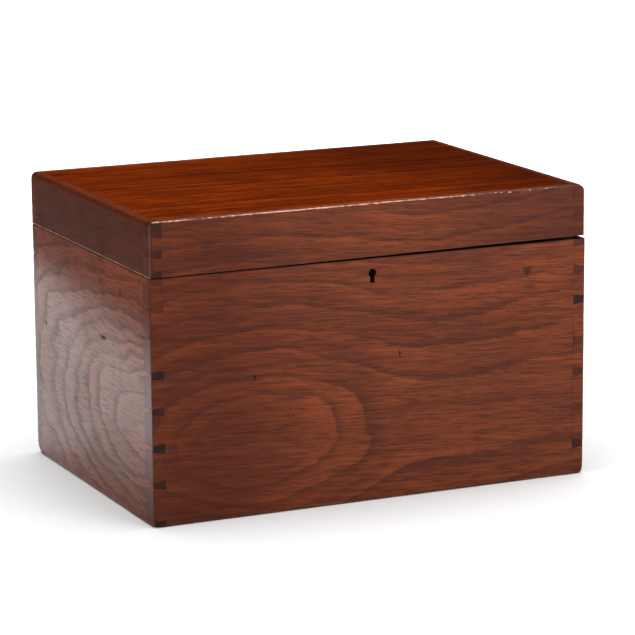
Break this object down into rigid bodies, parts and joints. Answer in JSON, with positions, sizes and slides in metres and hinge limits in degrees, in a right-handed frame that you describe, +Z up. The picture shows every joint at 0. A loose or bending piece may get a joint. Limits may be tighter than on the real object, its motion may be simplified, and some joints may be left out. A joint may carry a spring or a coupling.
{
  "type": "tea caddy",
  "caption": "Plain dovetailed wooden tea caddy with a hinged lid, a keyhole lock, lidded tea compartments and a well for a mixing bowl.",
  "frame": {"origin": "middle of the base: centre of the bounding box in plan, on the surface that the box stands on", "axes": "+X along the front to the viewer's right, -Y out of the front face, +Z up"},
  "size_m": [0.3, 0.2115, 0.1905],
  "materials": {
    "mahogany": "old French polish, worn at the edges",
    "inner_wood": "unpolished old wood",
    "lid_wood": "polished, protected from light",
    "tea_lead": "dull tinned foil",
    "baize": "faded green baize",
    "lining_paper": "aged lining paper",
    "brass": "old lacquer, dulled",
    "steel": "dark, lightly rusted"
  },
  "bodies": {
    "case": {"front_board": "mahogany", "back_board": "mahogany", "left_board": "mahogany", "right_board": "mahogany", "bottom_board": "inner_wood", "bottom_pins": "steel", "partition_left": "inner_wood", "partition_right": "inner_wood", "tea_lining_left": "tea_lead", "tea_lining_right": "tea_lead", "ledges_left": "inner_wood", "ledges_right": "inner_wood", "well_cleats": "inner_wood", "bowl_board": "lid_wood", "well_baize": "baize", "hinge_body_leaf_left": "brass", "hinge_body_leaf_right": "brass", "hinge_pin_left": "steel", "hinge_pin_right": "steel", "hinge_screws_body": "brass", "lock_case": "brass", "lock_cap": "brass", "lock_spring": "steel", "lock_drill_pin": "steel", "lock_screws": "brass"},
    "lid": {"lid_front": "mahogany", "lid_back": "mahogany", "lid_left": "mahogany", "lid_right": "mahogany", "lid_panel": "mahogany", "lid_lining": "lining_paper", "hinge_lid_leaf_left": "brass", "hinge_lid_leaf_right": "brass", "hinge_screws_lid": "brass", "link_plate": "brass", "link_screws": "brass"},
    "bolt": {"lock_bolt": "brass"},
    "tea_lid_left": {"inner_lid_left": "lid_wood", "knob_left": "brass"},
    "tea_lid_right": {"inner_lid_right": "lid_wood", "knob_right": "brass"}
  },
  "joints": [
    {"name": "lid_hinge", "type": "hinge", "parent": "case", "child": "lid", "pos_m": [0, 0.10325, 0.15575], "axis": [-1, 0, 0], "range_deg": [0, 95]},
    {"name": "bolt_slide", "type": "slide", "parent": "case", "child": "bolt", "axis": [1, 0, 0], "range_m": [0, 0.0045]},
    {"name": "tea_lid_left_lift", "type": "slide", "parent": "case", "child": "tea_lid_left", "axis": [0, 0, 1], "range_m": [0, 0.018]},
    {"name": "tea_lid_right_lift", "type": "slide", "parent": "case", "child": "tea_lid_right", "axis": [0, 0, 1], "range_m": [0, 0.018]}
  ]
}
